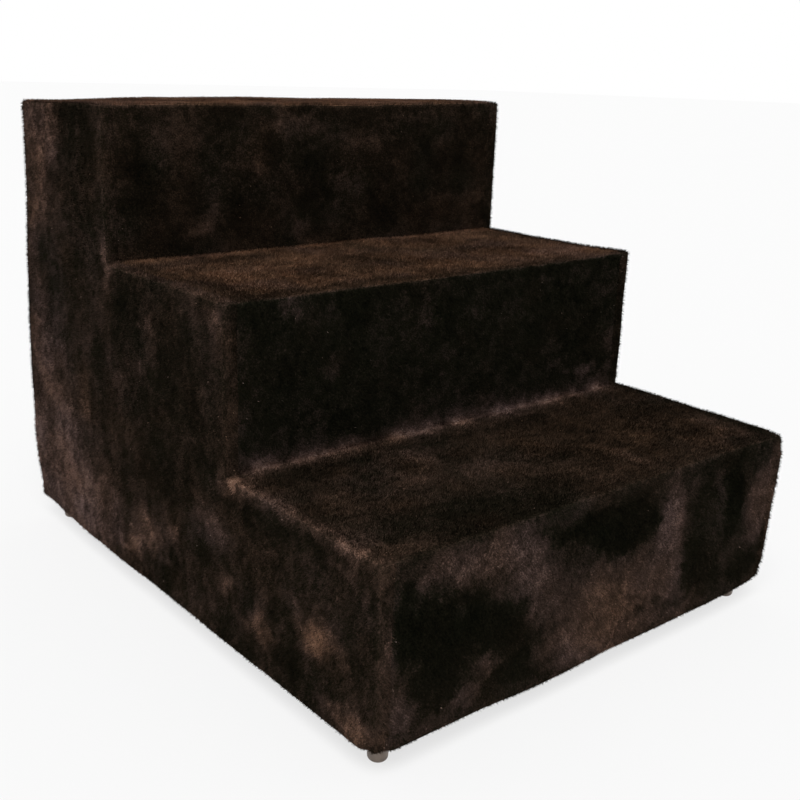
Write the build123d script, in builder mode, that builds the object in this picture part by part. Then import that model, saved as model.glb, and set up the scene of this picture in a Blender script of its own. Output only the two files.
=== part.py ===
from build123d import *

import os

# Pet stairs with three steps: a boxed carcass of boards on four screw-on feet, dressed in plush faux
# fur that is glued over every outer face and turned under the base board, where it is stapled.
# Millimetres. X runs across the stairs, Y from the front to the back and Z up. The origin is on the
# floor, below the middle of the stairs.

os.makedirs("parts", exist_ok=True)

# Driving dimensions, measured over the fur
stair_width = 500
lower_run = 200
middle_run = 205
upper_run = 195
lower_rise = 154
middle_rise = 143
upper_rise = 142

# Materials
fur_thickness = 8
side_wrap = 14
hem_thickness = 4
hem_width = 28
board_thickness = 12
tread_thickness = 15
batten_size = 18
block_size = 30
block_gap = 7

# Rounded pile: along the side edges, over the nosings and in the creases between riser and tread
edge_radius = 5
nosing_radius = 6
crease_radius = 3

# Feet
foot_height = 21
foot_diameter = 17
foot_edge_chamfer = 2.5
foot_inset = 25
foot_clearance = 0.3

# Fasteners
pin_length = 35
batten_pin_length = 26
pin_width = 1.6
pin_thickness = 1.4
pin_end_distance = 40
pin_spread_share = 0.6
stud_diameter = 5
stud_depth_in_foot = 12
stud_depth_in_block = 16
hole_clearance = 0.1
staple_crown = 10
staple_leg = 8
staple_wire_width = 1.2
staple_wire_thickness = 0.7
staple_spacing = 150
staple_end_distance = 60
overrun = 5

# Places that follow from the sizes above
half_width = stair_width / 2
stair_depth = lower_run + middle_run + upper_run
front = -stair_depth / 2
middle_front = front + lower_run
upper_front = middle_front + middle_run
back = stair_depth / 2
fur_bottom = foot_height
lower_top = fur_bottom + lower_rise
middle_top = lower_top + middle_rise
upper_top = middle_top + upper_rise

board_bottom = fur_bottom + hem_thickness
panel_bottom = board_bottom + board_thickness
half_carcass = half_width - fur_thickness
half_strip = half_width - side_wrap
half_inside = half_carcass - board_thickness
board_front = front + fur_thickness
board_middle_front = middle_front + fur_thickness
board_upper_front = upper_front + fur_thickness
board_back = back - fur_thickness
board_lower_top = lower_top - fur_thickness
board_middle_top = middle_top - fur_thickness
board_upper_top = upper_top - fur_thickness
hem_half_width = half_carcass - hem_width
hem_front = board_front + hem_width
hem_back = board_back - hem_width
block_top = board_lower_top - tread_thickness - batten_size - block_gap

sides = {"left": -1, "right": 1}
ends = {"front": -1, "back": 1}


def stair_outline(inset, bottom):
    """The stepped side view as points in Y and Z, set in from the fur's face and cut off at a height."""
    return [
        (front + inset, bottom),
        (front + inset, lower_top - inset),
        (middle_front + inset, lower_top - inset),
        (middle_front + inset, middle_top - inset),
        (upper_front + inset, middle_top - inset),
        (upper_front + inset, upper_top - inset),
        (back - inset, upper_top - inset),
        (back - inset, bottom),
    ]


def foot_centre(side, end):
    """Where a foot stands: side is -1 or 1 for left or right, end is -1 or 1 for front or back."""
    return (side * (half_width - foot_inset), end * (stair_depth / 2 - foot_inset))


foot_places = [foot_centre(side, end) for side in sides.values() for end in ends.values()]

# Treads as front, back and top of the board; each runs back under the riser that stands on it
treads = {
    "lower": (board_front, board_middle_front + board_thickness, board_lower_top),
    "middle": (board_middle_front, board_upper_front + board_thickness, board_middle_top),
    "top": (board_upper_front, board_back, board_upper_top),
}

# Risers as front, bottom and top of the board; each stands on the tread below it
risers = {
    "lower": (board_front, panel_bottom, board_lower_top - tread_thickness),
    "middle": (board_middle_front, board_lower_top, board_middle_top - tread_thickness),
    "upper": (board_upper_front, board_middle_top, board_upper_top - tread_thickness),
}

# Battens as front and back; each lies in the corner below a tread, behind the riser under its nosing
battens = {
    "lower": (board_front + board_thickness, treads["lower"][1]),
    "middle": (board_middle_front + board_thickness, treads["middle"][1]),
    "top": (board_upper_front + board_thickness, board_back - board_thickness),
}


def into(x, y, z, direction):
    """A pin's place: it enters a board's face at this point and runs in the given direction."""
    return Plane((x, y, z), z_dir=direction).location


def side_pin_places(side):
    """Pins through a side panel: two into each tread's end, one into each riser's, two into the back's."""
    spots = []
    for tread_front, tread_back, tread_top in treads.values():
        for y in (tread_front + pin_end_distance, tread_back - pin_end_distance):
            spots.append((y, tread_top - tread_thickness / 2))
    for riser_front, riser_bottom, riser_top in risers.values():
        spots.append((riser_front + board_thickness / 2, (riser_bottom + riser_top) / 2))
    for z in (panel_bottom + pin_end_distance, board_upper_top - tread_thickness - pin_end_distance):
        spots.append((board_back - board_thickness / 2, z))
    return [into(side * half_carcass, y, z, (-side, 0, 0)) for y, z in spots]


def batten_pin_places():
    """Pins through each batten, from inside the stairs, into the side panel that it lies on."""
    places = []
    for name, (batten_front, batten_back) in battens.items():
        z = treads[name][2] - tread_thickness - batten_size / 2
        for y in (batten_front + pin_end_distance, batten_back - pin_end_distance):
            for side in sides.values():
                places.append(into(side * (half_inside - batten_size), y, z, (side, 0, 0)))
    return places


def tread_pin_places():
    """Pins through each tread: down into the board under its front or back, up into the riser on it."""
    down = [(riser_front, treads[name][2]) for name, (riser_front, _, _) in zip(treads, risers.values())]
    down.append((board_back - board_thickness, board_upper_top))
    up = [(board_middle_front, board_lower_top), (board_upper_front, board_middle_top)]
    places = []
    for x in (-pin_spread_share * half_inside, pin_spread_share * half_inside):
        for board_face, z in down:
            places.append(into(x, board_face + board_thickness / 2, z, (0, 0, -1)))
        for board_face, z in up:
            places.append(into(x, board_face + board_thickness / 2, z - tread_thickness, (0, 0, 1)))
    return places


def base_pin_places():
    """Pins up through the base board, under the side panels, the lower riser and the back panel."""
    side_x = half_carcass - board_thickness / 2
    end_x = pin_spread_share * half_inside
    end_y = pin_spread_share * board_back
    spots = [(side * side_x, end * end_y) for side in sides.values() for end in ends.values()]
    for side in sides.values():
        spots.append((side * end_x, board_front + board_thickness / 2))
        spots.append((side * end_x, board_back - board_thickness / 2))
    return [into(x, y, board_bottom, (0, 0, 1)) for x, y in spots]


# Fasteners: square-cut wire pins set level with the board's face, and a matching hole for each

pin_groups = {
    "left_panel_pins": (side_pin_places(sides["left"]), pin_length),
    "right_panel_pins": (side_pin_places(sides["right"]), pin_length),
    "batten_pins": (batten_pin_places(), batten_pin_length),
    "tread_pins": (tread_pin_places(), pin_length),
    "base_pins": (base_pin_places(), pin_length),
}
from_face = (Align.CENTER, Align.CENTER, Align.MIN)

for name, (places, length) in pin_groups.items():
    with BuildPart() as pins:
        with Locations(*places):
            Box(pin_width, pin_thickness, length, align=from_face)
    pins.part.label = name
    export_step(pins.part, f"parts/{name}.step")

with BuildPart() as pin_holes:
    for places, length in pin_groups.values():
        with Locations(*places):
            Box(
                pin_width + 2 * hole_clearance,
                pin_thickness + 2 * hole_clearance,
                length + hole_clearance,
                align=from_face,
            )

# Staples along the middle of each turned-under hem, their crowns across the hem's underside

staple_line_x = half_carcass - hem_width / 2
staple_line_y = board_back - hem_width / 2
leg_offset = (staple_crown - staple_wire_thickness) / 2


def staple_row(half_length):
    """Evenly spaced places along a hem, up to the end distance from its two ends."""
    reach = 2 * (half_length - staple_end_distance)
    gaps = max(1, round(reach / staple_spacing))
    return [reach * (index / gaps - 1 / 2) for index in range(gaps + 1)]


staple_places = [
    Location((side * staple_line_x, y), 90) for side in sides.values() for y in staple_row(staple_line_y)
]
staple_places += [
    Location((x, end * staple_line_y), 0) for end in ends.values() for x in staple_row(staple_line_x)
]

with BuildPart() as hem_staples:
    with BuildSketch(Plane.XY.offset(fur_bottom)):
        with Locations(*staple_places):
            with Locations((-leg_offset, 0), (leg_offset, 0)):
                Rectangle(staple_wire_thickness, staple_wire_width)
    extrude(amount=hem_thickness + staple_leg)
    with BuildSketch(Plane.XY.offset(fur_bottom - staple_wire_thickness)):
        with Locations(*staple_places):
            Rectangle(staple_crown, staple_wire_width)
    extrude(amount=staple_wire_thickness)
hem_staples.part.label = "hem_staples"
export_step(hem_staples.part, "parts/hem_staples.step")

with BuildPart() as staple_slots:
    with BuildSketch(Plane.XY.offset(fur_bottom)):
        with Locations(*staple_places):
            with Locations((-leg_offset, 0), (leg_offset, 0)):
                Rectangle(
                    staple_wire_thickness + 2 * hole_clearance,
                    staple_wire_width + 2 * hole_clearance,
                )
    extrude(amount=hem_thickness + staple_leg + hole_clearance)

# Carcass boards

with BuildPart() as base_board:
    with BuildSketch(Plane.XY.offset(board_bottom)):
        Rectangle(2 * half_carcass, board_back - board_front)
        with Locations(*foot_places):
            Circle(stud_diameter / 2 + hole_clearance, mode=Mode.SUBTRACT)
    extrude(amount=board_thickness)
    add(pin_holes.part, mode=Mode.SUBTRACT)
    add(staple_slots.part, mode=Mode.SUBTRACT)
base_board.part.label = "base_board"
export_step(base_board.part, "parts/base_board.step")

for name, side in sides.items():
    with BuildPart() as side_panel:
        with BuildSketch(Plane.YZ.offset(side * half_inside)):
            with BuildLine():
                Polyline(*stair_outline(fur_thickness, panel_bottom), close=True)
            make_face()
        extrude(amount=side * board_thickness)
        add(pin_holes.part, mode=Mode.SUBTRACT)
    side_panel.part.label = f"{name}_side_panel"
    export_step(side_panel.part, f"parts/{name}_side_panel.step")

for name, (tread_front, tread_back, tread_top) in treads.items():
    with BuildPart() as tread_board:
        with BuildSketch(Plane.XY.offset(tread_top - tread_thickness)):
            with Locations((0, (tread_front + tread_back) / 2)):
                Rectangle(2 * half_inside, tread_back - tread_front)
        extrude(amount=tread_thickness)
        add(pin_holes.part, mode=Mode.SUBTRACT)
    tread_board.part.label = f"{name}_tread_board"
    export_step(tread_board.part, f"parts/{name}_tread_board.step")

for name, (riser_front, riser_bottom, riser_top) in risers.items():
    with BuildPart() as riser_board:
        with BuildSketch(Plane.XY.offset(riser_bottom)):
            with Locations((0, riser_front + board_thickness / 2)):
                Rectangle(2 * half_inside, board_thickness)
        extrude(amount=riser_top - riser_bottom)
        add(pin_holes.part, mode=Mode.SUBTRACT)
    riser_board.part.label = f"{name}_riser_board"
    export_step(riser_board.part, f"parts/{name}_riser_board.step")

with BuildPart() as back_panel:
    with BuildSketch(Plane.XY.offset(panel_bottom)):
        with Locations((0, board_back - board_thickness / 2)):
            Rectangle(2 * half_inside, board_thickness)
    extrude(amount=board_upper_top - tread_thickness - panel_bottom)
    add(pin_holes.part, mode=Mode.SUBTRACT)
back_panel.part.label = "back_panel"
export_step(back_panel.part, "parts/back_panel.step")

# Battens under the treads, and blocks in the bottom corners that end a little below the lowest battens

for side_name, side in sides.items():
    for name, (batten_front, batten_back) in battens.items():
        batten_top = treads[name][2] - tread_thickness
        with BuildPart() as batten:
            with BuildSketch(Plane.XY.offset(batten_top - batten_size)):
                with Locations((side * (half_inside - batten_size / 2), (batten_front + batten_back) / 2)):
                    Rectangle(batten_size, batten_back - batten_front)
            extrude(amount=batten_size)
            add(pin_holes.part, mode=Mode.SUBTRACT)
        batten.part.label = f"{side_name}_{name}_batten"
        export_step(batten.part, f"parts/{side_name}_{name}_batten.step")

for end_name, end in ends.items():
    for side_name, side in sides.items():
        block_x = side * (half_inside - block_size / 2)
        block_y = end * (board_back - board_thickness - block_size / 2)
        with BuildPart() as corner_block:
            with BuildSketch(Plane.XY.offset(panel_bottom)):
                with Locations((block_x, block_y)):
                    Rectangle(block_size, block_size)
            extrude(amount=block_top - panel_bottom)
            with BuildSketch(Plane.XY.offset(panel_bottom)):
                with Locations(foot_centre(side, end)):
                    Circle(stud_diameter / 2 + hole_clearance)
            extrude(amount=stud_depth_in_block + hole_clearance, mode=Mode.SUBTRACT)
        corner_block.part.label = f"{end_name}_{side_name}_corner_block"
        export_step(corner_block.part, f"parts/{end_name}_{side_name}_corner_block.step")

# Feet, each turned onto a stud that stands in the base board and a corner block

stud_radius = stud_diameter / 2
stud_bottom = board_bottom - stud_depth_in_foot
stud_top = panel_bottom + stud_depth_in_block

for end_name, end in ends.items():
    for side_name, side in sides.items():
        with BuildPart() as foot:
            with BuildSketch():
                with Locations(foot_centre(side, end)):
                    Circle(foot_diameter / 2)
            extrude(amount=board_bottom)
            chamfer(foot.faces().sort_by(Axis.Z)[0].edges(), foot_edge_chamfer)
            with BuildSketch(Plane.XY.offset(stud_bottom - hole_clearance)):
                with Locations(foot_centre(side, end)):
                    Circle(stud_radius + hole_clearance)
            extrude(until=Until.LAST, mode=Mode.SUBTRACT)
        foot.part.label = f"{end_name}_{side_name}_foot"
        export_step(foot.part, f"parts/{end_name}_{side_name}_foot.step")

with BuildPart() as foot_studs:
    with BuildSketch(Plane.XY.offset(stud_bottom)):
        with Locations(*foot_places):
            Circle(stud_radius)
    extrude(amount=stud_top - stud_bottom)
foot_studs.part.label = "foot_studs"
export_step(foot_studs.part, "parts/foot_studs.step")

# Fur covers: one outer form rounded over every edge, from which each cover takes its part. The side
# covers wrap round the edges of the carcass, and the strips over the steps and the back butt on them.

corner_radii = [
    nosing_radius,
    nosing_radius,
    crease_radius,
    nosing_radius,
    crease_radius,
    nosing_radius,
    nosing_radius,
    nosing_radius,
]
with BuildPart() as fur_form:
    with BuildSketch(Plane.YZ):
        with BuildLine():
            FilletPolyline(*stair_outline(0, fur_bottom), radius=corner_radii, close=True)
        make_face()
    extrude(amount=half_width, both=True)
    fillet(fur_form.faces().filter_by(Axis.X).edges(), edge_radius)

with BuildPart() as foot_holes:
    with BuildSketch(Plane.XY.offset(fur_bottom - overrun)):
        with Locations(*foot_places):
            Circle(foot_diameter / 2 + foot_clearance)
    extrude(amount=board_bottom - fur_bottom + overrun)

side_covers = {}
for name, side in sides.items():
    with BuildPart() as side_cover:
        with BuildSketch(Plane.YZ.offset(side * half_strip)):
            with BuildLine():
                Polyline(*stair_outline(0, fur_bottom), close=True)
            make_face()
        extrude(amount=side * side_wrap)
        with BuildSketch(Plane.YZ.offset(side * half_strip)):
            with BuildLine():
                Polyline(*stair_outline(fur_thickness, board_bottom), close=True)
            make_face()
        extrude(amount=side * (side_wrap - fur_thickness), mode=Mode.SUBTRACT)
        with BuildSketch(Plane.XY.offset(fur_bottom)):
            with BuildLine():
                Polyline(
                    (side * half_width, front),
                    (side * half_width, back),
                    (side * hem_half_width, hem_back),
                    (side * hem_half_width, hem_front),
                    close=True,
                )
            make_face()
        extrude(amount=hem_thickness)
        add(fur_form.part, mode=Mode.INTERSECT)
        add(foot_holes.part, mode=Mode.SUBTRACT)
        add(staple_slots.part, mode=Mode.SUBTRACT)
    side_covers[name] = side_cover.part
    side_cover.part.label = f"{name}_side_cover"
    export_step(side_cover.part, f"parts/{name}_side_cover.step")

strips = {
    "lower_step_cover": [
        (front, fur_bottom),
        (front, lower_top),
        (middle_front, lower_top),
        (board_middle_front, board_lower_top),
        (board_front, board_lower_top),
        (board_front, board_bottom),
        (hem_front, board_bottom),
        (hem_front, fur_bottom),
    ],
    "middle_step_cover": [
        (middle_front, lower_top),
        (middle_front, middle_top),
        (upper_front, middle_top),
        (board_upper_front, board_middle_top),
        (board_middle_front, board_middle_top),
        (board_middle_front, board_lower_top),
    ],
    "upper_step_cover": [
        (upper_front, middle_top),
        (upper_front, upper_top),
        (back, upper_top),
        (board_back, board_upper_top),
        (board_upper_front, board_upper_top),
        (board_upper_front, board_middle_top),
    ],
    "back_cover": [
        (back, upper_top),
        (back, fur_bottom),
        (hem_back, fur_bottom),
        (hem_back, board_bottom),
        (board_back, board_bottom),
        (board_back, board_upper_top),
    ],
}
for name, outline in strips.items():
    with BuildPart() as strip_cover:
        with BuildSketch(Plane.YZ):
            with BuildLine():
                Polyline(*outline, close=True)
            make_face()
        extrude(amount=half_width, both=True)
        add(fur_form.part, mode=Mode.INTERSECT)
        add(foot_holes.part, mode=Mode.SUBTRACT)
        add(staple_slots.part, mode=Mode.SUBTRACT)
        for side_cover in side_covers.values():
            add(side_cover, mode=Mode.SUBTRACT)
    strip_cover.part.label = name
    export_step(strip_cover.part, f"parts/{name}.step")
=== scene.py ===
import math

import bmesh
import bpy
import numpy as np
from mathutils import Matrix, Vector


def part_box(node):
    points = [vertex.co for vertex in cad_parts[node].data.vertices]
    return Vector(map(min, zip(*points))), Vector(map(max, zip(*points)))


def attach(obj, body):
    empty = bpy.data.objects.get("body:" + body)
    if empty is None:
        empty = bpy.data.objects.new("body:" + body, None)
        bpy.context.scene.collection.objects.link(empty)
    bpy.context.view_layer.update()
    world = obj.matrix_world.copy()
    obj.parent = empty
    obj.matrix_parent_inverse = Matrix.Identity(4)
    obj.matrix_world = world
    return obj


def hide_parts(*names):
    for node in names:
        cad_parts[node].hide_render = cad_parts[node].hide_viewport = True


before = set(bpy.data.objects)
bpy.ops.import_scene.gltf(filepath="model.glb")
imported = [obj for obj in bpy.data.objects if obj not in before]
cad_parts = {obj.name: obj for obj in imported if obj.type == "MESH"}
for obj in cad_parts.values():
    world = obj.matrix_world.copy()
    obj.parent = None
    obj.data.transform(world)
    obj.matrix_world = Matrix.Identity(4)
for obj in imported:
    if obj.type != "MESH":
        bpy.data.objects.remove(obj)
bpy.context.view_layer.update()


# Carcass: boards of pressed wood fibre, nailed together, with softwood battens and blocks in the
# corners. The fur hides all of it but the middle of the base board.

def linear(colour):
    """An sRGB hex colour as the linear numbers that a shader takes."""
    parts = [int(colour[i : i + 2], 16) / 255 for i in (1, 3, 5)]
    return [p / 12.92 if p <= 0.04045 else ((p + 0.055) / 1.055) ** 2.4 for p in parts] + [1]


def add_node(material, kind, inputs=None, stops=None, **settings):
    """Adds a node to a material or the world. Inputs are values or other nodes' outputs, and stops
    are the colours of a ramp."""
    made = material.node_tree.nodes.new(kind)
    for name, value in settings.items():
        setattr(made, name, value)
    for name, value in (inputs or {}).items():
        if isinstance(value, bpy.types.NodeSocket):
            material.node_tree.links.new(value, made.inputs[name])
        else:
            made.inputs[name].default_value = value
    if stops:
        while len(made.color_ramp.elements) < len(stops):
            made.color_ramp.elements.new(1)
        for element, (position, colour) in zip(made.color_ramp.elements, stops):
            element.position = position
            element.color = linear(colour)
    return made


def new_material(name):
    """An empty node material with its output node."""
    material = bpy.data.materials.new(name)
    material.use_nodes = True
    material.node_tree.nodes.clear()
    return material, add_node(material, "ShaderNodeOutputMaterial")


# Fibreboard as it comes from the press: a soft brown face with darker fibre specks and a dull
# shine. A noise's scale is how often it turns in a metre: 700 gives specks of 1.4 mm, and 18 gives
# clouds of 55 mm.
fibreboard, surface = new_material("pressed_fibreboard")
place = add_node(fibreboard, "ShaderNodeTexCoord").outputs["Object"]
specks = add_node(fibreboard, "ShaderNodeTexNoise", {"Vector": place, "Scale": 700, "Detail": 3})
clouds = add_node(fibreboard, "ShaderNodeTexNoise", {"Vector": place, "Scale": 18, "Detail": 2})
mixed = add_node(
    fibreboard,
    "ShaderNodeMath",
    {0: specks.outputs["Fac"], 1: 0.65, 2: 0.0},
    operation="MULTIPLY_ADD",
)
mixed = add_node(
    fibreboard,
    "ShaderNodeMath",
    {0: clouds.outputs["Fac"], 1: 0.35, 2: mixed.outputs[0]},
    operation="MULTIPLY_ADD",
)
tint = add_node(
    fibreboard,
    "ShaderNodeValToRGB",
    {"Fac": mixed.outputs[0]},
    stops=[(0.34, "#5b4430"), (0.5, "#7d6145"), (0.66, "#96795a")],
)
relief = add_node(
    fibreboard,
    "ShaderNodeBump",
    {"Height": specks.outputs["Fac"], "Strength": 0.25, "Distance": 0.0002},
)
board_face = add_node(
    fibreboard,
    "ShaderNodeBsdfPrincipled",
    {"Base Color": tint.outputs["Color"], "Roughness": 0.72, "Normal": relief.outputs["Normal"]},
)
fibreboard.node_tree.links.new(board_face.outputs[0], surface.inputs["Surface"])

# Sawn pine: pale, with rings 4 mm apart that show as long stripes along the batten
pine, surface = new_material("sawn_pine")
place = add_node(pine, "ShaderNodeTexCoord").outputs["Object"]
drawn_out = add_node(pine, "ShaderNodeMapping", {"Vector": place, "Scale": (1, 0.06, 1)})
rings = add_node(
    pine, "ShaderNodeTexNoise", {"Vector": drawn_out.outputs[0], "Scale": 240, "Detail": 3}
)
tint = add_node(
    pine,
    "ShaderNodeValToRGB",
    {"Fac": rings.outputs["Fac"]},
    stops=[(0.35, "#b48a5a"), (0.6, "#d9b684")],
)
relief = add_node(
    pine, "ShaderNodeBump", {"Height": rings.outputs["Fac"], "Strength": 0.3, "Distance": 0.0003}
)
wood_face = add_node(
    pine,
    "ShaderNodeBsdfPrincipled",
    {"Base Color": tint.outputs["Color"], "Roughness": 0.65, "Normal": relief.outputs["Normal"]},
)
pine.node_tree.links.new(wood_face.outputs[0], surface.inputs["Surface"])

# Drawn steel wire, bright, with fine scratches from the die, 0.4 mm apart
steel, surface = new_material("drawn_steel_wire")
place = add_node(steel, "ShaderNodeTexCoord").outputs["Object"]
scratches = add_node(steel, "ShaderNodeTexNoise", {"Vector": place, "Scale": 2500, "Detail": 2})
dulling = add_node(
    steel, "ShaderNodeMapRange", {"Value": scratches.outputs["Fac"], "To Min": 0.25, "To Max": 0.45}
)
wire_face = add_node(
    steel,
    "ShaderNodeBsdfPrincipled",
    {"Base Color": linear("#b9b8b4"), "Metallic": 1, "Roughness": dulling.outputs[0]},
)
steel.node_tree.links.new(wire_face.outputs[0], surface.inputs["Surface"])

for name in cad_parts:
    finish = None
    if name.endswith(("_board", "_panel")):
        finish = fibreboard
    elif name.endswith(("_batten", "_block")):
        finish = pine
    elif name.endswith(("_pins", "_studs", "_staples")):
        finish = steel
    if finish:
        bpy.data.objects[name].data.materials.clear()
        bpy.data.objects[name].data.materials.append(finish)


# Feet: short round stubs of grey-brown polypropylene, moulded with a slight taper and a rounded
# lower edge, screwed onto studs through the base board.

foot_taper = 0.94
foot_round = 0.0035
foot_rim, foot_rim_slope, foot_recess = 0.0016, 0.0006, 0.0004

# Moulded polypropylene: an even taupe, half matt, with the grain of an eroded mould, drawn as
# coarse as 0.6 mm so that it shows, and dulled in spots of 8 mm
taupe_plastic, surface = new_material("moulded_polypropylene")
place = add_node(taupe_plastic, "ShaderNodeTexCoord").outputs["Object"]
grain = add_node(taupe_plastic, "ShaderNodeTexNoise", {"Vector": place, "Scale": 1800, "Detail": 2})
dirt = add_node(taupe_plastic, "ShaderNodeTexNoise", {"Vector": place, "Scale": 130, "Detail": 3})
tint = add_node(
    taupe_plastic,
    "ShaderNodeValToRGB",
    {"Fac": dirt.outputs["Fac"]},
    stops=[(0.35, "#6d5f54"), (0.65, "#85766a")],
)
relief = add_node(
    taupe_plastic,
    "ShaderNodeBump",
    {"Height": grain.outputs["Fac"], "Strength": 0.2, "Distance": 0.0001},
)
plastic_face = add_node(
    taupe_plastic,
    "ShaderNodeBsdfPrincipled",
    {
        "Base Color": tint.outputs["Color"],
        "Roughness": 0.42,
        "IOR": 1.49,
        "Normal": relief.outputs["Normal"],
    },
)
taupe_plastic.node_tree.links.new(plastic_face.outputs[0], surface.inputs["Surface"])


def pick(piece, test):
    """Selects the faces of a piece in edit mode whose centre and normal pass a test."""
    mesh = bmesh.from_edit_mesh(piece.data)
    for face in mesh.faces:
        face.select_set(bool(test(face.calc_center_median(), face.normal)))
    mesh.select_flush_mode()
    bmesh.update_edit_mesh(piece.data)


for name in ("front_left", "front_right", "back_left", "back_right"):
    low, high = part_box(f"{name}_foot")
    centre = ((low[0] + high[0]) / 2, (low[1] + high[1]) / 2)
    foot_radius = (high[0] - low[0]) / 2
    bpy.ops.object.select_all(action="DESELECT")
    bpy.ops.mesh.primitive_cylinder_add(
        vertices=48,
        radius=foot_radius,
        depth=high[2] - low[2],
        location=(*centre, (low[2] + high[2]) / 2),
    )
    foot = bpy.context.object
    foot.name = foot.data.name = f"{name}_stub_foot"
    bpy.ops.object.transform_apply(location=True, rotation=True, scale=True)
    bpy.ops.object.mode_set(mode="EDIT")
    pick(foot, lambda place, normal: normal.z < -0.9)
    bpy.ops.transform.resize(
        value=(foot_taper, foot_taper, 1),
        center_override=(*centre, low[2]),
    )
    bpy.ops.mesh.select_mode(type="EDGE")
    bpy.ops.mesh.region_to_loop()
    bpy.ops.mesh.bevel(offset=foot_round, segments=5)
    bpy.ops.mesh.select_mode(type="FACE")
    pick(foot, lambda place, normal: normal.z < -0.99)
    bpy.ops.mesh.inset(thickness=foot_rim)
    bpy.ops.mesh.inset(thickness=foot_rim_slope, depth=-foot_recess)
    bpy.ops.object.mode_set(mode="OBJECT")
    bpy.ops.object.shade_smooth_by_angle(angle=math.radians(40))
    foot.data.materials.append(taupe_plastic)
    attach(foot, "root")
    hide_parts(f"{name}_foot")


# Fur dress: plush of polyester pile on a knitted ground, glued over the carcass in six cuts. Two
# side cuts wrap round the edges, three strips run over a riser and its tread each, and one covers
# the back. The cloth is shaped as one soft stepped form under the pile, then parted at the seams.

# The covers' solids, pile and all, to a tenth of a millimetre, give the size of the dress
solids = {
    name: [[round(value, 4) for value in corner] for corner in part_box(f"{name}_cover")]
    for name in ("right_side", "back", "lower_step", "middle_step", "upper_step")
}
(hem_edge_x, front, bottom), (half_width, back, upper_top) = solids["right_side"]
seam_x, _, lower_top = solids["lower_step"][1]
middle_top = solids["middle_step"][1][2]
middle_front, upper_front = solids["middle_step"][0][1], solids["upper_step"][0][1]
hem_edge_y = solids["back"][0][1]

# The cloth lies inside the solids by pile_stand, the height that most of the tips reach. Under the
# base the pile is pressed short, and its tips hang hem_drop lower than the solids.
pile_height, pile_stand, hem_pile_height = 0.0024, 0.0019, 0.0014
cloth_thickness = 0.0046
hem_drop = 0.0015
cloth_half_width = half_width - pile_stand
cloth_fronts = [place + pile_stand for place in (front, middle_front, upper_front)]
cloth_back = back - pile_stand
cloth_bottom = bottom - hem_drop + hem_pile_height
cloth_tops = [place - pile_stand for place in (lower_top, middle_top, upper_top)]

# The cloth turns under within hem_turn of the bottom, and its pile is short within hem_pile_turn
hem_turn, hem_pile_turn = 0.006, 0.005
foot_inset, foot_hole_radius = 0.025, 0.0095

bpy.ops.object.select_all(action="DESELECT")
bpy.ops.mesh.primitive_cube_add(size=1)
dress = bpy.context.object
dress.name = dress.data.name = "fur_dress"
dress.scale = (
    2 * cloth_half_width,
    cloth_fronts[1] - cloth_fronts[0],
    cloth_tops[0] - cloth_bottom,
)
dress.location = (
    0,
    (cloth_fronts[0] + cloth_fronts[1]) / 2,
    (cloth_bottom + cloth_tops[0]) / 2,
)
bpy.ops.object.transform_apply(location=True, rotation=True, scale=True)
bpy.ops.object.mode_set(mode="EDIT")
bpy.ops.mesh.select_mode(type="FACE")
for run in (cloth_fronts[2] - cloth_fronts[1], cloth_back - cloth_fronts[2]):
    pick(dress, lambda place, normal: normal.y > 0.9)
    bpy.ops.mesh.extrude_region_move(TRANSFORM_OT_translate={"value": (0, run, 0)})
for step in (1, 2):
    pick(dress, lambda place, normal: normal.z > 0.9 and place.y > cloth_fronts[step])
    rise = cloth_tops[step] - cloth_tops[step - 1]
    bpy.ops.mesh.extrude_region_move(TRANSFORM_OT_translate={"value": (0, 0, rise)})

# The form is remeshed and softened, which rounds its edges as the cloth does
mesh_size = 0.003
bpy.ops.object.mode_set(mode="OBJECT")
dress.data.remesh_voxel_size = mesh_size
bpy.ops.object.voxel_remesh()

softened = dress.modifiers.new("softened", "SMOOTH")
softened.factor, softened.iterations = 0.5, 1
bpy.ops.object.modifier_apply(modifier=softened.name)

# The cloth ends at the inner edges of the hems
bpy.ops.object.mode_set(mode="EDIT")
pick(
    dress,
    lambda place, normal: normal.z < -0.7
    and abs(place.x) < hem_edge_x
    and abs(place.y) < hem_edge_y,
)
bpy.ops.mesh.delete(type="FACE")
bpy.ops.object.mode_set(mode="OBJECT")

# Handling has pulled the dress out of true: a corner, how far it is pulled, and how far round it
# the cloth follows. The faces within the grip move as one.
grip = 0.008
pulls = [
    ((half_width, front, lower_top), (0.006, 0, -0.0025), 0.1),
    ((half_width, front, bottom), (-0.001, 0.001, 0.001), 0.05),
    ((-0.07, front, bottom), (0, 0, -0.0028), 0.1),
    ((0.08, front, bottom), (0, 0, -0.001), 0.1),
    ((-half_width, front, bottom), (0.003, 0.003, 0.0015), 0.014),
    ((half_width, middle_front, lower_top), (0.002, 0, 0.001), 0.1),
    ((half_width, middle_front, middle_top), (0, 0, 0.002), 0.06),
    ((half_width, upper_front, upper_top), (0, 0, 0.0035), 0.2),
    ((-half_width, back, upper_top), (0.0035, -0.0035, -0.0045), 0.2),
    ((-half_width, back, lower_top), (-0.003, 0.002, 0), 0.18),
    ((-half_width, back, 0.06), (-0.0015, 0.001, 0), 0.06),
    ((-half_width, 0.25, bottom), (0.002, 0, 0.001), 0.07),
    ((-half_width, back, bottom), (0.001, -0.001, 0.003), 0.07),
]
bpy.ops.object.mode_set(mode="EDIT")
for corner, pull, reach in pulls:
    pick(dress, lambda place, normal: (place - Vector(corner)).length < grip)
    bpy.ops.transform.translate(
        value=pull,
        use_proportional_edit=True,
        proportional_edit_falloff="SMOOTH",
        proportional_size=reach,
    )

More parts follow.
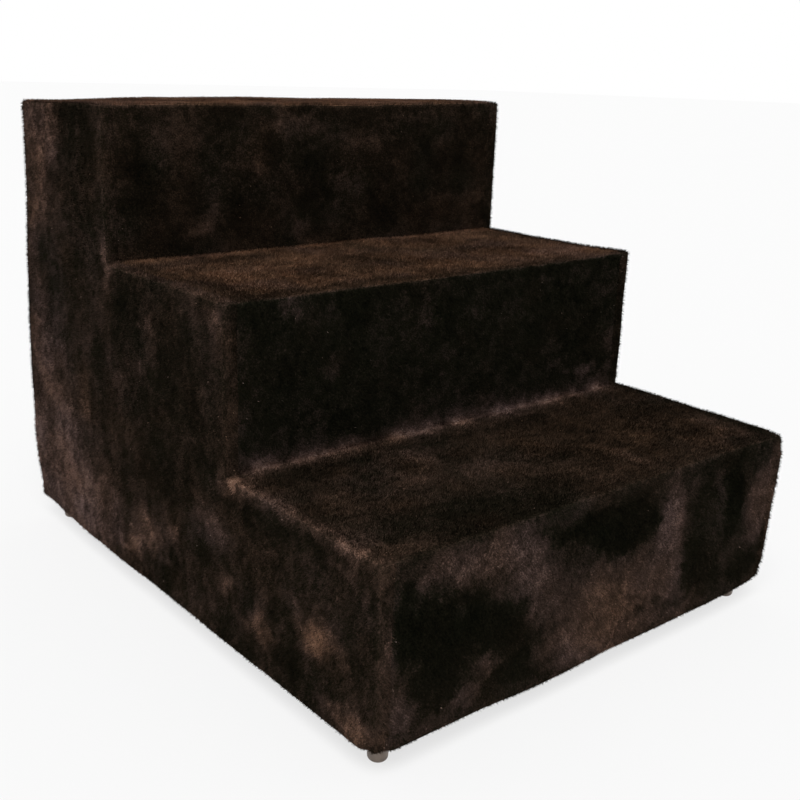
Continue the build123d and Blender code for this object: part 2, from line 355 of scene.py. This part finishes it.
# The right end of the lower step is worn rounder than the others: its top corner, where the pull
# has left it, and its bottom one
worn_radius, worn_rounds = 0.016, 14
pulled_corner = (half_width + 0.0045, front, lower_top - 0.003)
for corner in (pulled_corner, (half_width, front, bottom)):
    pick(dress, lambda place, normal: (place - Vector(corner)).length < worn_radius)
    bpy.ops.mesh.vertices_smooth(factor=0.5, repeat=worn_rounds)
bpy.ops.object.mode_set(mode="OBJECT")

# The glued cloth lies a little uneven, in waves some 75 mm long
wave_length, wave_height = 0.075, 0.0022
wave = bpy.data.textures.new("uneven_padding", "CLOUDS")
wave.noise_scale, wave.noise_depth = wave_length, 1
uneven = dress.modifiers.new("uneven", "DISPLACE")
uneven.texture, uneven.strength, uneven.mid_level = wave, wave_height, 0.5
uneven.texture_coords = "LOCAL"
bpy.ops.object.modifier_apply(modifier=uneven.name)


def on_side(place, normal):
    """True for a face of a side cut, down to the mitres of its hem."""
    if place.z < bottom + hem_turn and normal.z < -0.5:
        return half_width - abs(place.x) < min(place.y - front, back - place.y)
    return abs(place.x) > seam_x


def over_foot(place, normal):
    """True for a face of a hem that a foot comes through."""
    aside = abs(place.x) - (half_width - foot_inset), abs(place.y) - (back - foot_inset)
    return normal.z < -0.7 and math.hypot(*aside) < foot_hole_radius


# Behind this place a face can belong to the back cut
back_zone = 0.28


def on_back(place, normal):
    """True for a face of the back cut, once the side cuts are off: its hem, or a face near the back
    that lies nearer the back than the top."""
    in_hem = place.y > 0 and normal.z < -0.5
    return in_hem or (place.y > back_zone and back - place.y < upper_top - place.z)


# Each cut takes its faces from what the cuts before it have left of the dress
cuts = {
    "left_side_fur": lambda place, normal: on_side(place, normal) and place.x < 0,
    "right_side_fur": on_side,
    "back_fur": on_back,
    "upper_step_fur": lambda place, normal: place.y + place.z > cloth_fronts[2] + cloth_tops[1],
    "middle_step_fur": lambda place, normal: place.y + place.z > cloth_fronts[1] + cloth_tops[0],
    "lower_step_fur": lambda place, normal: True,
}
bpy.ops.object.mode_set(mode="EDIT")
pick(dress, over_foot)
bpy.ops.mesh.delete(type="FACE")
bpy.ops.object.mode_set(mode="OBJECT")
cloths = {}
for name, belongs in cuts.items():
    bpy.ops.object.select_all(action="DESELECT")
    dress.select_set(True)
    bpy.context.view_layer.objects.active = dress
    if name != "lower_step_fur":
        bpy.ops.object.mode_set(mode="EDIT")
        pick(dress, belongs)
        bpy.ops.mesh.separate(type="SELECTED")
        bpy.ops.object.mode_set(mode="OBJECT")
        cloth = next(o for o in bpy.context.selected_objects if o is not dress)
    else:
        cloth = dress
    cloth.name = cloth.data.name = name
    cloths[name] = cloth


# The dye, with the light and shade painted into it, lies on a scale of lightness, each quarter of
# it three to nearly four times as bright as the last, and a scale of hue, from a purple grey to an
# orange brown.
def dye_and_painted_light(material, lightness, hue):
    """Adds the dye of the fur, and the light and shade painted into it, to a material and gives its
    colour.
    """
    cool = add_node(
        material,
        "ShaderNodeValToRGB",
        {"Fac": lightness},
        stops=[
            (0, "#0b0c07"), (0.25, "#1c1b13"), (0.5, "#433632"), (0.75, "#7a6560"), (1, "#c0aaa4"),
        ],
    )
    warm = add_node(
        material,
        "ShaderNodeValToRGB",
        {"Fac": lightness},
        stops=[
            (0, "#0e0c08"), (0.25, "#231b14"), (0.5, "#473629"), (0.75, "#88654e"), (1, "#d1aa8b"),
        ],
    )
    mixed = add_node(
        material,
        "ShaderNodeMix",
        {0: hue, 6: cool.outputs["Color"], 7: warm.outputs["Color"]},
        data_type="RGBA",
    )
    return mixed.outputs[2]


# Knitted ground with the feet of the pile in it, in tufts 1.4 mm apart. The map named nap has the
# lightness and hue of its pile, painted light and shade included. The tufts darken the ground a
# little more than they lighten it: painted shade under the pile.
ground, surface = new_material("tufted_knit_ground")
place = add_node(ground, "ShaderNodeTexCoord").outputs["Object"]
nap = add_node(ground, "ShaderNodeAttribute", attribute_name="nap")
brushed_to = add_node(ground, "ShaderNodeSeparateXYZ", {0: nap.outputs["Vector"]})
tufts = add_node(ground, "ShaderNodeTexNoise", {"Vector": place, "Scale": 700, "Detail": 2})
# Uneven dye from the tufts, darker by 0.05 on the whole as painted shade under the pile
uneven_dye_and_painted_shade = add_node(
    ground,
    "ShaderNodeMapRange",
    {
        "Value": tufts.outputs["Fac"],
        "From Min": 0.3,
        "From Max": 0.7,
        "To Min": -0.2,
        "To Max": 0.1,
    },
)
lightness = add_node(
    ground, "ShaderNodeMath", {0: brushed_to.outputs[0], 1: uneven_dye_and_painted_shade.outputs[0]}, operation="ADD"
)
relief = add_node(
    ground, "ShaderNodeBump", {"Height": tufts.outputs["Fac"], "Strength": 0.6, "Distance": 0.001}
)
ground_face = add_node(
    ground,
    "ShaderNodeBsdfPrincipled",
    {
        "Base Color": dye_and_painted_light(ground, lightness.outputs[0], brushed_to.outputs[1]),
        "Roughness": 0.9,
        "Specular IOR Level": 0.0,
        "Normal": relief.outputs["Normal"],
    },
)
ground.node_tree.links.new(ground_face.outputs[0], surface.inputs["Surface"])

# Polyester fibre, sheared. Each fibre reads its lightness, painted light and shade included, across
# the map named OFBake, from root to tip, and its hue up that map.
fibre, surface = new_material("sheared_polyester_fibre")
tuft_map = add_node(fibre, "ShaderNodeUVMap", uv_map="OFBake")
parted = add_node(fibre, "ShaderNodeSeparateXYZ", {0: tuft_map.outputs[0]})
fibre_face = add_node(
    fibre,
    "ShaderNodeBsdfPrincipled",
    {
        "Base Color": dye_and_painted_light(fibre, parted.outputs[0], parted.outputs[1]),
        "Roughness": 0.8,
        "Specular IOR Level": 0.01,
    },
)
fibre.node_tree.links.new(fibre_face.outputs[0], surface.inputs["Surface"])


def drift(points, size, seed):
    """A smooth random vector at each point, from -1 to 1, that turns over about this distance."""
    knots = np.random.default_rng(seed).uniform(-1, 1, (48, 48, 48, 3))
    at = points / size + 480.5
    cell = np.floor(at).astype(int)
    share = at - cell
    share = share * share * (3 - 2 * share)
    total = np.zeros_like(points)
    for corner in np.ndindex(2, 2, 2):
        knot = (cell + corner) % 48
        weight = np.prod(np.where(corner, share, 1 - share), axis=1)
        total += weight[:, None] * knots[knot[:, 0], knot[:, 1], knot[:, 2]]
    return total


def near(values, place, width):
    """1 at a place, falling to 0 over a width to both sides."""
    return np.exp(-(((values - place) / width) ** 2))


# How far the nap leans, for each unit that it stands up
nap_down, nap_forward, nap_tousled = 0.35, 0.3, 0.3
unbrushed_height = 0.004


def lay_down(root, normal):
    """The nap: down the risers and sides and forward over the treads, brushed about at random. In
    the last few millimetres over the lower edge it isn't brushed down."""
    lean = np.zeros_like(root)
    upright = np.abs(normal[:, 2]) < 0.6
    lean[:, 2] = np.where(upright & (root[:, 2] > cloth_bottom + unbrushed_height), -nap_down, 0)
    lean[:, 1] = np.where(upright, 0, -nap_forward)
    return lean + nap_tousled * drift(root, 0.045, 11)


def vertices_of(mesh):
    """The places and the normals of a mesh's vertices."""
    found = []
    for field in ("co", "normal"):
        values = np.empty(len(mesh.vertices) * 3)
        mesh.vertices.foreach_get(field, values)
        found.append(values.reshape(-1, 3))
    return found


# Real fibres are a tenth as wide and stand far closer: these are as fine as shows in the render.
# They lean together in tufts and singly, and they are sheared a little unevenly.
fibres_per_mm2 = 0.9
fibre_half_widths = 0.00022, 0.00036
root_depth = 0.0004
tuft_size, tuft_lean, fibre_lean = 0.003, 0.35, 0.25
shear, shear_spread, shear_limits = 1.05, 0.1, (0.7, 1.4)

# A fibre's root is darker than its tip, and no two fibres took the dye quite alike
root_darker, lightness_spread, hue_spread = 0.16, 0.045, 0.1

# A few fibres are drawn as short pale ends at the height of the tips, more of them along the seams
pale_tip_share, pale_tips_by_seam, pale_tip_lightness = 0.0003, 0.005, 0.95


def scatter_roots(mesh, density, random):
    """Roots spread evenly over a mesh, a density of them to the square millimetre, with the normals
    of the mesh there."""
    mesh.calc_loop_triangles()
    corners = np.empty(len(mesh.loop_triangles) * 3, np.int32)
    mesh.loop_triangles.foreach_get("vertices", corners)
    corners = corners.reshape(-1, 3)
    places, normals = vertices_of(mesh)
    a, b, c = (places[corners[:, i]] for i in range(3))
    areas = np.linalg.norm(np.cross(b - a, c - a), axis=1) / 2
    count = int(areas.sum() * 1e6 * density)
    chosen = corners[random.choice(len(corners), count, p=areas / areas.sum())]
    u, v = random.random((2, count))
    u, v = np.where(u + v > 1, 1 - u, u), np.where(u + v > 1, 1 - v, v)
    shares = np.stack([1 - u - v, u, v], 1)[:, :, None]
    root = (places[chosen] * shares).sum(1)
    normal = (normals[chosen] * shares).sum(1)
    return root, normal / np.linalg.norm(normal, axis=1)[:, None]


def mesh_of_fibres(name, points, tuft):
    """A mesh of flat triangles from three points each, with the map that their dye and painted
    light and shade are read from.
    """
    count = len(tuft)
    pile = bpy.data.meshes.new(name)
    pile.vertices.add(3 * count)
    pile.vertices.foreach_set("co", points.ravel())
    pile.loops.add(3 * count)
    pile.loops.foreach_set("vertex_index", np.arange(3 * count, dtype=np.int32))
    pile.polygons.add(count)
    pile.polygons.foreach_set("loop_start", np.arange(0, 3 * count, 3, dtype=np.int32))
    pile.uv_layers.new(name="OFBake").uv.foreach_set("vector", tuft.ravel().astype(np.float32))
    pile.update(calc_edges=True)
    return pile


def grow_pile(name, cloth, density, shade, seed):
    """Plants sheared fibres on a cloth, a density of them to the square millimetre. shade gives
    each root's lightness and hue."""
    random = np.random.default_rng(seed)
    root, normal = scatter_roots(cloth.data, density, random)
    count = len(root)

    lightness, hue = shade(root, normal)
    lean = lay_down(root, normal)
    lean += tuft_lean * drift(root, tuft_size, seed + 1)
    lean += fibre_lean * random.normal(size=root.shape)
    lean -= normal * (lean * normal).sum(1)[:, None]
    along = normal + lean
    along /= np.linalg.norm(along, axis=1)[:, None]
    on_hem = (root[:, 2] < bottom + hem_pile_turn) & (normal[:, 2] < -0.3)
    height = np.where(on_hem, hem_pile_height, pile_height)
    height = height * random.normal(shear, shear_spread, count).clip(*shear_limits)
    length = (height + root_depth) / np.maximum((along * normal).sum(1), 0.45)
    across = np.cross(along, normal + 0.35 * random.normal(size=root.shape))
    fibre_half_width = random.uniform(*fibre_half_widths, count)
    across *= (fibre_half_width / np.linalg.norm(across, axis=1))[:, None]
    root = root - root_depth * normal

    by_seam = near(np.abs(root[:, 0]), seam_x, 0.006) * (normal[:, 2] > -0.5)
    # A few fibres become short pale ends at the height of the tips
    pale_tip = random.random(count) < pale_tip_share + pale_tips_by_seam * by_seam
    root = np.where(pale_tip[:, None], root + 0.75 * along * length[:, None], root)
    length = np.where(pale_tip, 0.3 * length, length)
    tip = root + along * length[:, None]
    points = np.stack([root - across, root + across, tip], 1).reshape(-1, 3)

    lightness += random.normal(0, lightness_spread, count)
    lightness = np.where(pale_tip, pale_tip_lightness, lightness).clip(0.02, 0.98)
    hue = (hue + random.normal(0, hue_spread, count)).clip(0.02, 0.98)
    tuft = np.empty((count, 3, 2))
    tuft[:, :2, 0] = (lightness - root_darker).clip(0.01, 1)[:, None]
    tuft[:, 2, 0] = lightness
    # The two corners at the root are a little apart in hue, so that the map has an area
    tuft[:, 0, 1], tuft[:, 1, 1], tuft[:, 2, 1] = hue - 0.01, hue + 0.01, hue

    pile = mesh_of_fibres(name, points, tuft)
    pile.materials.append(fibre)
    made = bpy.data.objects.new(name, pile)
    bpy.context.scene.collection.objects.link(made)
    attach(made, "root")
    return made


def marked(across, up, marks):
    """How strongly each point lies in a list of marks, which have flat middles and sharp edges."""
    total = np.zeros(len(across))
    for mark_across, mark_up, wide, high, strength in marks:
        apart = ((across * 1000 - mark_across) / wide) ** 2 + ((up * 1000 - mark_up) / high) ** 2
        total += strength * np.exp(-(apart**2))
    return total


def brushed(across, up, face):
    """The lightness of a face with brush marks on it, towards its dark or its light tone: the real
    brushing of the pile, drawn as painted sheen and shade.
    """
    dark, middle, light = face["tones"]
    total = np.tanh(marked(across, up, face["marks"]))
    return middle + np.where(total > 0, light - middle, middle - dark) * total


def mottle(root, streaks):
    """The crushed look that handling leaves all over: soft patches, finer ones in them, tufts and
    a grain. streaks draws the patches out along the way the pile was brushed."""
    drawn = root * streaks
    return (
        0.035 * np.tanh(3 * drift(drawn, 0.03, 21)[:, 0])
        + 0.055 * np.tanh(3 * drift(drawn, 0.011, 22)[:, 0])
        + 0.1 * drift(drawn, 0.0045, 23)[:, 0]
        + 0.11 * drift(root, 0.002, 24)[:, 0]
    )


def ruffled(root):
    """Roots moved about a little, so that the patches get ragged edges."""
    return root + 0.007 * drift(root, 0.02, 31) + 0.005 * drift(root, 0.006, 32)


# How each face is brushed: its dark, middle and light tones, its hue, how mottled it is, its
# marks, and the marks where its hue is warmer, or cooler where they are below 0. A mark is the
# middle, half width and half height of a patch in millimetres, and how strong it is. The tones are
# painted light and shade: lighter on the treads and the top, which face the lamp, than on the
# risers. The marks follow the brushing of the pile, as painted sheen above 0 and painted shade
# below.
side_face = {
    "tones": (0.22, 0.36, 0.64),
    "hue": 0.45,
    "mottled": 1,
    "marks": [
        (262, 412, 30, 40, 1.9), (226, 425, 24, 32, 1.4), (250, 362, 42, 26, 0.8),
        (282, 310, 16, 70, 0.8), (235, 66, 86, 62, 0.9), (172, 64, 44, 54, 0.6),
        (190, 92, 120, 95, 0.5), (283, 130, 16, 120, 0.8), (265, 215, 26, 75, 0.6),
        (225, 195, 40, 50, 0.3), (245, 100, 46, 74, 0.5), (212, 112, 12, 10, 0.5),
        (195, 48, 60, 20, 0.3), (160, 62, 22, 12, 0.4), (106, 322, 10, 14, 0.9),
        (110, 300, 10, 12, 0.6), (27, 275, 9, 9, 1), (50, 235, 10, 6, 0.5), (25, 215, 10, 6, 0.4),
        (35, 76, 28, 20, 1.5), (-6, 95, 12, 9, 0.6), (-15, 72, 10, 8, 0.5), (60, 52, 16, 12, 1.2),
        (88, 45, 18, 9, 0.9), (5, 55, 12, 8, 0.8), (-150, 60, 26, 15, 1.5),
        (-100, 76, 10, 10, 0.7), (-75, 120, 34, 14, 0.5), (-58, 141, 10, 6, 0.4),
        (-155, 132, 14, 6, 0.6), (-232, 88, 32, 16, 1.1), (-200, 106, 10, 8, 0.6),
        (-250, 150, 20, 5, 0.5), (-270, 38, 30, 14, 1.1), (-292, 100, 8, 60, 0.1),
        (-106, 186, 12, 12, 1), (-95, 168, 9, 10, 0.7), (-84, 302, 16, 12, 0.5),
        (155, 432, 40, 30, -0.4), (150, 365, 44, 30, -0.2), (70, 270, 28, 35, -0.7),
        (15, 190, 50, 34, -0.6), (-30, 240, 40, 50, -0.7), (-60, 170, 28, 22, -0.6),
        (0, 140, 40, 16, -0.8), (-70, 95, 18, 14, -1.1), (-130, 155, 40, 7, -0.9),
        (-210, 162, 40, 7, -0.8), (-110, 34, 30, 10, -0.7), (-190, 50, 20, 12, -0.8),
        (-245, 70, 14, 10, -0.6), (90, 120, 30, 30, -0.4), (130, 200, 30, 50, -0.3),
        (-180, 92, 14, 10, -0.7),
    ],
    "warm": [
        (35, 76, 30, 20, 0.3), (-150, 60, 26, 15, 0.3), (-232, 88, 34, 16, 0.3),
        (-270, 38, 30, 14, 0.25), (265, 405, 30, 45, 0.2), (225, 66, 86, 70, -0.3),
        (240, 260, 50, 80, -0.25), (-75, 122, 40, 20, -0.3),
    ],
}
lower_riser_face = {
    "tones": (0.14, 0.35, 0.56),
    "hue": 0.25,
    "mottled": 0.8,
    "marks": [
        (-180, 155, 42, 10, 1.3), (-140, 148, 38, 18, 1.5), (-105, 132, 26, 30, 1.1),
        (-76, 112, 20, 34, 0.9), (-120, 168, 70, 8, 0.4), (-25, 66, 48, 42, 1.4),
        (40, 72, 38, 42, 1.3), (0, 38, 60, 18, 1), (85, 112, 17, 52, 1.6), (102, 62, 20, 22, 1.1),
        (120, 38, 16, 12, 0.8), (60, 30, 90, 10, 0.6), (226, 110, 20, 38, 2.2),
        (240, 146, 10, 16, 1.2), (-150, 84, 10, 6, 1.2), (-135, 60, 12, 10, 1.2),
        (-160, 44, 16, 8, 0.9), (-226, 50, 12, 20, 0.8), (-195, 32, 22, 7, 0.8),
        (-84, 50, 14, 10, 0.7), (-172, 95, 50, 24, -2), (-206, 112, 24, 22, -1.5),
        (-226, 135, 11, 20, -1.5), (-120, 88, 24, 22, -1.5), (-192, 62, 30, 18, -1),
        (-112, 48, 30, 16, -0.9), (20, 135, 40, 22, -3), (-16, 146, 26, 13, -1.6),
        (-55, 153, 30, 9, -0.9), (50, 46, 10, 8, -1.6), (124, 66, 20, 30, -1.2),
        (132, 128, 18, 28, -0.4), (180, 122, 13, 42, -1.7), (156, 60, 22, 30, -0.5),
        (205, 48, 22, 16, -0.7), (150, 164, 50, 6, -0.4), (156, 130, 9, 26, 0.3),
    ],
    "warm": [(-5, 66, 66, 36, 0.4), (222, 112, 22, 34, 0.2)],
}
lower_tread_face = {
    "tones": (0.23, 0.37, 0.55),
    "hue": 0.6,
    "mottled": 0.8,
    "marks": [
        (-90, -158, 18, 22, 0.9), (-130, -190, 28, 20, 0.7), (-55, -202, 28, 18, 0.8),
        (70, -250, 10, 38, 0.9), (20, -268, 24, 15, 0.6), (172, -272, 28, 18, 0.8),
        (218, -255, 20, 32, 0.7), (-195, -192, 22, 22, 0.5), (-220, -285, 30, 10, 0.7),
        (120, -220, 22, 14, 0.5), (-170, -128, 60, 14, -0.9), (-60, -125, 32, 12, -0.6),
        (45, -130, 60, 12, -0.5), (-150, -262, 72, 26, -0.9), (-60, -272, 36, 20, -0.7),
        (30, -215, 28, 20, -0.4), (-120, -294, 90, 12, -1.1), (200, -180, 40, 20, -0.4),
    ],
    "warm": [(120, -200, 120, 90, 0.45)],
}
middle_riser_face = {
    "tones": (0.17, 0.24, 0.48),
    "hue": 0,
    "mottled": 1.1,
    "marks": [
        (-182, 308, 14, 8, 0.9), (-146, 306, 8, 6, 0.6), (-36, 288, 8, 16, 0.6),
        (-140, 252, 10, 12, 0.5), (-165, 215, 16, 8, 0.4), (-232, 250, 6, 18, 0.5),
        (182, 202, 24, 6, 0.7), (140, 208, 12, 6, 0.5), (205, 198, 10, 5, 0.7),
        (130, 228, 20, 6, 0.35), (200, 282, 28, 7, 0.4), (100, 268, 32, 5, 0.35),
        (150, 302, 42, 5, 0.5), (232, 225, 10, 28, 0.6), (60, 240, 12, 30, 0.2),
        (-5, 230, 8, 40, 0.15),
    ],
    "warm": [],
}
middle_tread_face = {
    "tones": (0.41, 0.6, 0.72),
    "hue": 1,
    "mottled": 0.6,
    "marks": [
        (-170, -10, 55, 38, 0.6), (-80, 32, 34, 30, 0.4), (90, -50, 80, 25, 0.5),
        (200, -50, 44, 40, 0.8), (-200, -88, 55, 10, -1.4), (-90, -86, 50, 10, -1.2),
        (20, -93, 60, 7, -1), (120, -96, 60, 5, -0.8), (-20, 5, 12, 40, -0.6),
        (22, 70, 14, 28, -0.8), (-232, 60, 12, 50, -0.7), (-226, -45, 18, 50, -0.7),
        (-120, 70, 40, 14, -0.4),
    ],
    "warm": [(180, -40, 110, 80, -0.25)],
}
upper_riser_face = {
    "tones": (0.15, 0.29, 0.47),
    "hue": 0.6,
    "mottled": 1,
    "marks": [
        (-175, 440, 38, 12, 0.8), (-165, 424, 26, 8, 0.6), (-35, 440, 42, 12, 0.9),
        (20, 424, 32, 10, 0.6), (90, 446, 32, 8, 0.6), (152, 448, 44, 9, 0.7),
        (-150, 346, 24, 12, 0.8), (-30, 338, 28, 9, 0.7), (32, 385, 24, 12, 0.7),
        (60, 412, 12, 10, 0.5), (165, 357, 22, 9, 0.8), (-90, 402, 22, 8, 0.7),
        (205, 350, 24, 10, 0.5), (-8, 372, 24, 44, -0.8), (-105, 355, 14, 28, -0.6),
        (78, 350, 20, 26, -0.7), (192, 398, 28, 30, -0.5), (-215, 375, 18, 40, -0.6),
        (-60, 410, 14, 14, -0.5), (140, 400, 14, 30, -0.3),
    ],
    "warm": [],
}
# The top has the lightest tones: painted light from the lamp above
top_face = {"tones": (0.55, 0.67, 0.8), "hue": 0.8, "mottled": 0.8, "marks": [], "warm": []}
back_face = {
    "tones": (0.2, 0.34, 0.5),
    "hue": 0.5,
    "mottled": 1,
    "marks": [(-90, 250, 60, 120, 0.4)],
    "warm": [],
}
# Each strip's riser and tread, where the tread meets the next riser, and how much painted light
# lightens the pile in that crease and at the foot of the strip's own riser
strips = {
    "lower_step_fur": (lower_riser_face, lower_tread_face, middle_front, 0.38, 0),
    "middle_step_fur": (middle_riser_face, middle_tread_face, upper_front, 0.12, 0.55),
    "upper_step_fur": (upper_riser_face, top_face, back, 0, 0.12),
    "back_fur": (back_face, back_face, back, 0, 0),
}


def painted_edge_light(root, normal):
    """The painted light and shade of the side cuts where they wrap round the edges: on the left by
    height, apart for the upright and the level edges, and on the right by height alone."""
    upright = np.interp(root[:, 2], (0.12, 0.15, 0.31, 0.33), (0.49, 0.41, 0.36, 0.33))
    # Above the lower step the very corner of an upright edge is darker: painted shade in its round
    upright -= 0.4 * (root[:, 2] > lower_top) * (normal[:, 0] * normal[:, 1]) ** 2
    level = np.interp(root[:, 2], (lower_top, middle_top, upper_top), (0.45, 0.56, 0.68))
    share = normal[:, 2].clip(0, 1) ** 2
    right = np.interp(root[:, 2], (0.06, 0.09, 0.15, 0.17), (0.28, 0.46, 0.46, 0.3))
    return np.where(root[:, 0] < 0, (1 - share) * upright + share * level, right)


def shade_side(root, normal):
    """A side cut: brushed on its flat, its brush marks drawn as painted sheen and shade, and with
    painted light where it wraps round the edges, most of all along the edge of the lower tread."""
    moved = ruffled(root)
    flat = np.abs(normal[:, 0]).clip(0, 1) ** 2
    lightness = flat * brushed(moved[:, 1], moved[:, 2], side_face)
    lightness += (1 - flat) * painted_edge_light(root, normal)
    # Painted highlight along the edge of the lower tread, where the cloth rounds over it
    from_edge = np.hypot(root[:, 0] + cloth_half_width, root[:, 2] - cloth_tops[0])
    along_tread = -0.29, -0.25, middle_front, middle_front + 0.002
    lighter = np.interp(root[:, 1], along_tread, (0.05, 0.22, 0.22, 0))
    lightness += lighter * near(from_edge, 0, 0.009)
    lightness += (0.7 + 0.8 * lightness) * mottle(moved, (1, 1, 0.45))
    hue = side_face["hue"] + marked(moved[:, 1], moved[:, 2], side_face["warm"]) + 0.1 * (1 - flat)
    return lightness, hue + 0.3 * drift(root, 0.03, 41)[:, 1]


def shade_strip(name):
    """A strip's shading, from its entry above."""
    riser_face, tread_face, crease, painted_light_in_crease, painted_light_at_foot = strips[name]

    def shade(root, normal):
        moved = ruffled(root)
        top = normal[:, 2].clip(0, 1) ** 2
        uneven = 1 - 0.35 * drift(root, 0.02, 51)[:, 0]
        riser = brushed(moved[:, 0], moved[:, 2], riser_face)
        # Painted light at the foot of the riser, fading upwards
        from_foot = np.exp((root[:, 2].min() - root[:, 2]) / 0.01)
        riser += painted_light_at_foot * uneven * from_foot
        tread = brushed(moved[:, 0], moved[:, 1], tread_face)
        # Painted light in the crease where the tread meets the next riser
        from_crease = np.exp(-np.abs(root[:, 1] - crease) / 0.008)
        tread += painted_light_in_crease * uneven * from_crease
        lightness = (1 - top) * riser + top * tread
        # Near the left seam a strip takes on the painted light of the side cut's wrapped edge
        lightness += 0.6 * (painted_edge_light(root, normal) - lightness) * near(moved[:, 0], -seam_x, 0.008)
        mottled = (1 - top) * riser_face["mottled"] + top * tread_face["mottled"]
        lightness += (0.5 + lightness) * mottled * mottle(moved, (0.6, 1, 0.7))
        hue = (1 - top) * (riser_face["hue"] + marked(moved[:, 0], moved[:, 2], riser_face["warm"]))
        hue += top * (tread_face["hue"] + marked(moved[:, 0], moved[:, 1], tread_face["warm"]))
        # In these bands of painted light the hue moves to the middle of its scale
        creased = (1 - top) * from_foot * (painted_light_at_foot > 0.5) + top * from_crease * (painted_light_in_crease > 0.3)
        hue += (0.35 - hue) * creased
        return lightness, hue + 0.35 * drift(root, 0.03, 41)[:, 1]

    return shade


def dye_ground_with_painted_light(cloth, shade):
    """Gives a cloth the map named nap: the same lightness and hue as its pile, painted light and
    shade included.
    """
    lightness, hue = shade(*vertices_of(cloth.data))
    nap = np.stack([lightness.clip(0, 1), hue.clip(0, 1), 0 * hue], 1)
    made = cloth.data.attributes.new("nap", "FLOAT_VECTOR", "POINT")
    made.data.foreach_set("vector", nap.ravel())


# Each cut's cover in the source model, the boards it is glued to, and its flat size, which is its
# run over the boards with wraps of 14 mm and hems of 28 mm. The sides are stepped, so their area is
# given too.
covered = {
    "left_side_fur": ("left_side_cover", ["left_side_panel"], (0.63, 0.48), 0.215),
    "right_side_fur": ("right_side_cover", ["right_side_panel"], (0.63, 0.48), 0.215),
    "back_fur": ("back_cover", ["back_panel"], (0.472, 0.467), None),
    "upper_step_fur": (
        "upper_step_cover", ["upper_riser_board", "top_tread_board"], (0.472, 0.337), None
    ),
    "middle_step_fur": (
        "middle_step_cover", ["middle_riser_board", "middle_tread_board"], (0.472, 0.348), None
    ),
    "lower_step_fur": (
        "lower_step_cover", ["lower_riser_board", "lower_tread_board"], (0.472, 0.382), None
    ),
}
for index, (name, (node, boards, flat, area)) in enumerate(covered.items()):
    cloth = cloths[name]
    density = fibres_per_mm2
    shade = shade_side if "side" in name else shade_strip(name)
    pile = grow_pile(name.replace("_fur", "_pile"), cloth, density, shade, 100 * index)
    bpy.ops.object.select_all(action="DESELECT")
    bpy.context.view_layer.objects.active = cloth
    cloth.select_set(True)
    bpy.ops.object.shade_smooth()
    dye_ground_with_painted_light(cloth, shade)
    body = cloth.modifiers.new("body", "SOLIDIFY")
    body.thickness, body.offset = cloth_thickness, -1
    bpy.ops.object.modifier_apply(modifier=body.name)
    cloth.data.materials.append(ground)
    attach(cloth, "root")
    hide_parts(node)


# Studio: a white paper floor, a broad soft lamp above and to the left, and even light all round.
# The floor and the world are white to the camera, and the floor keeps a pale shadow.

bpy.ops.object.select_all(action="DESELECT")
bpy.ops.mesh.primitive_plane_add(size=60)
floor = bpy.context.object
floor.name = floor.data.name = "studio_floor"


def seen_by_eye(material):
    """1 for a ray that comes from the camera, straight or by way of something glossy or clear, and
    0 for any other."""
    rays = add_node(material, "ShaderNodeLightPath")
    seen = rays.outputs["Is Camera Ray"]
    for kind in ("Is Glossy Ray", "Is Transmission Ray"):
        either = {0: seen, 1: rays.outputs[kind]}
        seen = add_node(material, "ShaderNodeMath", either, operation="MAXIMUM").outputs[0]
    return seen


# White paper, which throws back 86 % of the light. To the eye most of it is plain white, and the
# rest shows the shadow.
paper_white, plain_share = 0.86, 0.72
paper, surface = new_material("white_paper_floor")
sheet_face = add_node(paper, "ShaderNodeBsdfDiffuse", {"Color": (*[paper_white] * 3, 1)})
white = add_node(paper, "ShaderNodeEmission", {"Color": linear("#ffffff"), "Strength": 1})
share = add_node(
    paper, "ShaderNodeMath", {0: seen_by_eye(paper), 1: plain_share}, operation="MULTIPLY"
)
mixed = add_node(
    paper,
    "ShaderNodeMixShader",
    {0: share.outputs[0], 1: sheet_face.outputs[0], 2: white.outputs[0]},
)
paper.node_tree.links.new(mixed.outputs[0], surface.inputs["Surface"])
floor.data.materials.append(paper)

# The world lights the stairs evenly from all round, and the eye sees it as white
even_light = 0.45
world = bpy.data.worlds.new("studio")
bpy.context.scene.world = world
world.use_nodes = True
world.node_tree.nodes.clear()
sky_out = add_node(world, "ShaderNodeOutputWorld")
level = add_node(
    world, "ShaderNodeMapRange", {"Value": seen_by_eye(world), "To Min": even_light, "To Max": 1}
)
sky = add_node(
    world, "ShaderNodeBackground", {"Color": linear("#ffffff"), "Strength": level.outputs[0]}
)
world.node_tree.links.new(sky.outputs[0], sky_out.inputs["Surface"])

# The lamp is broad and soft: its light comes from 35 degrees of the sky, above and to the left
bpy.ops.object.light_add(
    type="SUN", rotation=(math.radians(20), math.radians(-22), 0), location=(-1, -1, 2)
)
key = bpy.context.object
key.data.energy, key.data.angle = 2.1, math.radians(35)

# The camera stands where the outline in the photo puts it
bpy.ops.object.camera_add(
    location=(-0.66301, -0.78617, 0.48979),
    rotation=(math.radians(72.7332), math.radians(-1.5833), math.radians(-38.3279)),
)
camera = bpy.context.object
camera.data.lens, camera.data.sensor_width = 47.262, 36
camera.data.shift_x = 0.05
camera.data.clip_start, camera.data.clip_end = 0.05, 100
bpy.context.scene.camera = camera
bpy.context.scene.view_settings.view_transform = "Standard"
